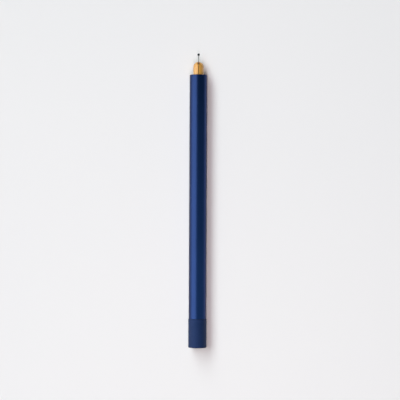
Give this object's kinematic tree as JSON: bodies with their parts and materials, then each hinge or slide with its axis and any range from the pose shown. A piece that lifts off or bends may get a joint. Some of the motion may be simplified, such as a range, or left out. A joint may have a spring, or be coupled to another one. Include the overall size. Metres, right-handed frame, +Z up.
{
  "type": "three d pen",
  "caption": "Slim drawing pen that feeds filament from the rear, melts it and lays it down through a collet-held ball-tipped needle, with a twist speed dial at the tail.",
  "frame": {"origin": "on the surface the pen lies on, below the middle of its length and its centre line", "axes": "+Y along the pen towards the nozzle tip, +Z up, away from the buttons, +X to the right"},
  "size_m": [0.011, 0.1764, 0.0109],
  "materials": {
    "anodised_navy": "satin anodised",
    "matte_navy": "bead-blasted and anodised, matte",
    "brass": "turned and polished",
    "needle_steel": "drawn tube",
    "dark_steel": "hardened, blackened",
    "black_plastic": "moulded",
    "black_resin": "moulded",
    "white_ptfe": "extruded tube, waxy",
    "circuit_board": "solder mask",
    "key_plastic": "moulded, fine spark texture",
    "clear_plastic": "clear, polished face",
    "spring_steel": "cold drawn",
    "machined_steel": "turned",
    "magnet_nickel": "nickel plated",
    "bare_aluminium": "turned",
    "alumina": "fired, unglazed",
    "glass_fibre": "woven and resin bonded",
    "lead_insulation": "silicone sleeve",
    "amber_film": "polyimide film"
  },
  "bodies": {
    "handle": {"barrel": "anodised_navy", "rear_core": "black_plastic", "detent_ball": "machined_steel", "detent_spring": "spring_steel", "filament_inlet_bush": "brass", "power_jack_body": "black_resin", "jack_contacts": "brass", "main_board": "circuit_board", "board_chips": "black_resin", "power_inductor": "black_resin", "filter_capacitors": "glass_fibre", "key_board": "circuit_board", "feed_dome": "spring_steel", "retract_dome": "spring_steel", "status_light": "clear_plastic", "light_pipe": "clear_plastic", "heater_leads": "lead_insulation", "motor_leads": "lead_insulation", "key_ribbon": "amber_film", "inner_carrier": "bare_aluminium", "rear_guide_tube": "white_ptfe", "front_guide_tube": "white_ptfe", "motor_can": "magnet_nickel", "motor_end_cap": "black_plastic", "motor_magnet": "dark_steel", "gearbox_ring": "machined_steel", "screw_bearings": "brass", "feed_frame": "black_plastic", "lever_pivot_pin": "machined_steel", "idler_spring": "spring_steel", "cold_plate": "bare_aluminium", "heat_break": "machined_steel", "heater_tube": "alumina", "heater_winding": "spring_steel", "thermistor": "alumina", "insulation_sleeve": "glass_fibre", "nose_collar": "black_plastic", "nozzle_collet": "brass", "nozzle_needle": "needle_steel", "nozzle_ball_tip": "dark_steel", "set_screws": "dark_steel"},
    "dial": {"speed_dial": "matte_navy", "dial_magnet": "magnet_nickel"},
    "feed_key": {"feed_button": "key_plastic"},
    "retract_key": {"retract_button": "key_plastic"},
    "feed_drive": {"drive_carrier": "machined_steel", "shaft_coupling": "brass", "feed_screw": "machined_steel"},
    "first_stage": {"first_stage_carrier": "machined_steel"},
    "rotor": {"motor_rotor": "machined_steel"},
    "idler_arm": {"idler_lever": "black_plastic", "roller_axle": "machined_steel"},
    "idler_wheel": {"idler_roller": "machined_steel"},
    "first_planet_1": {"first_stage_planet_1": "brass"},
    "first_planet_2": {"first_stage_planet_2": "brass"},
    "first_planet_3": {"first_stage_planet_3": "brass"},
    "second_planet_1": {"second_stage_planet_1": "brass"},
    "second_planet_2": {"second_stage_planet_2": "brass"},
    "second_planet_3": {"second_stage_planet_3": "brass"}
  },
  "joints": [
    {"name": "speed_dial_turn", "type": "hinge", "parent": "handle", "child": "dial", "pos_m": [0, -0.07955, 0.00545], "axis": [0, 1, 0], "range_deg": [-135, 135]},
    {"name": "feed_button_press", "type": "slide", "parent": "handle", "child": "feed_key", "axis": [0, 0, 1], "range_m": [0, 0.00025], "stiffness_N_per_m": 400, "deforming": ["feed_dome"]},
    {"name": "retract_button_press", "type": "slide", "parent": "handle", "child": "retract_key", "axis": [0, 0, 1], "range_m": [0, 0.00025], "stiffness_N_per_m": 400, "deforming": ["retract_dome"]},
    {"name": "feed_screw_spin", "type": "hinge", "parent": "handle", "child": "feed_drive", "pos_m": [0, 0.02885, 0.00385], "axis": [0, 1, 0], "continuous": true},
    {"name": "first_stage_spin", "type": "hinge", "parent": "handle", "child": "first_stage", "pos_m": [0, 0.00285, 0.00385], "axis": [0, 1, 0], "continuous": true},
    {"name": "rotor_spin", "type": "hinge", "parent": "handle", "child": "rotor", "pos_m": [0, -0.00615, 0.00385], "axis": [0, 1, 0], "continuous": true},
    {"name": "idler_lever_lift", "type": "hinge", "parent": "handle", "child": "idler_arm", "pos_m": [0, 0.03435, 0.00845], "axis": [-1, 0, 0], "range_deg": [0, 3], "stiffness_Nm_per_rad": 0.02, "deforming": ["idler_spring"]},
    {"name": "idler_roller_spin", "type": "hinge", "parent": "idler_arm", "child": "idler_wheel", "pos_m": [0, 0.02875, 0.0086], "axis": [1, 0, 0], "continuous": true},
    {"name": "first_planet_1_spin", "type": "hinge", "parent": "first_stage", "child": "first_planet_1", "pos_m": [0, 0.00125, 0.0052], "axis": [0, 1, 0], "continuous": true},
    {"name": "first_planet_2_spin", "type": "hinge", "parent": "first_stage", "child": "first_planet_2", "pos_m": [0.00117, 0.00125, 0.00317], "axis": [0, 1, 0], "continuous": true},
    {"name": "first_planet_3_spin", "type": "hinge", "parent": "first_stage", "child": "first_planet_3", "pos_m": [-0.00117, 0.00125, 0.00317], "axis": [0, 1, 0], "continuous": true},
    {"name": "second_planet_1_spin", "type": "hinge", "parent": "feed_drive", "child": "second_planet_1", "pos_m": [0, 0.00445, 0.0052], "axis": [0, 1, 0], "continuous": true},
    {"name": "second_planet_2_spin", "type": "hinge", "parent": "feed_drive", "child": "second_planet_2", "pos_m": [0.00117, 0.00445, 0.00317], "axis": [0, 1, 0], "continuous": true},
    {"name": "second_planet_3_spin", "type": "hinge", "parent": "feed_drive", "child": "second_planet_3", "pos_m": [-0.00117, 0.00445, 0.00317], "axis": [0, 1, 0], "continuous": true}
  ],
  "couplings": [
    {"joint": "first_stage_spin", "follows": "feed_screw_spin", "ratio": 5.1429},
    {"joint": "rotor_spin", "follows": "feed_screw_spin", "ratio": 26.449},
    {"joint": "idler_roller_spin", "follows": "feed_screw_spin", "ratio": -0.13403},
    {"joint": "first_planet_1_spin", "follows": "feed_screw_spin", "ratio": -13.558},
    {"joint": "first_planet_2_spin", "follows": "feed_screw_spin", "ratio": -13.558},
    {"joint": "first_planet_3_spin", "follows": "feed_screw_spin", "ratio": -13.558},
    {"joint": "second_planet_1_spin", "follows": "feed_screw_spin", "ratio": -2.6364},
    {"joint": "second_planet_2_spin", "follows": "feed_screw_spin", "ratio": -2.6364},
    {"joint": "second_planet_3_spin", "follows": "feed_screw_spin", "ratio": -2.6364}
  ]
}
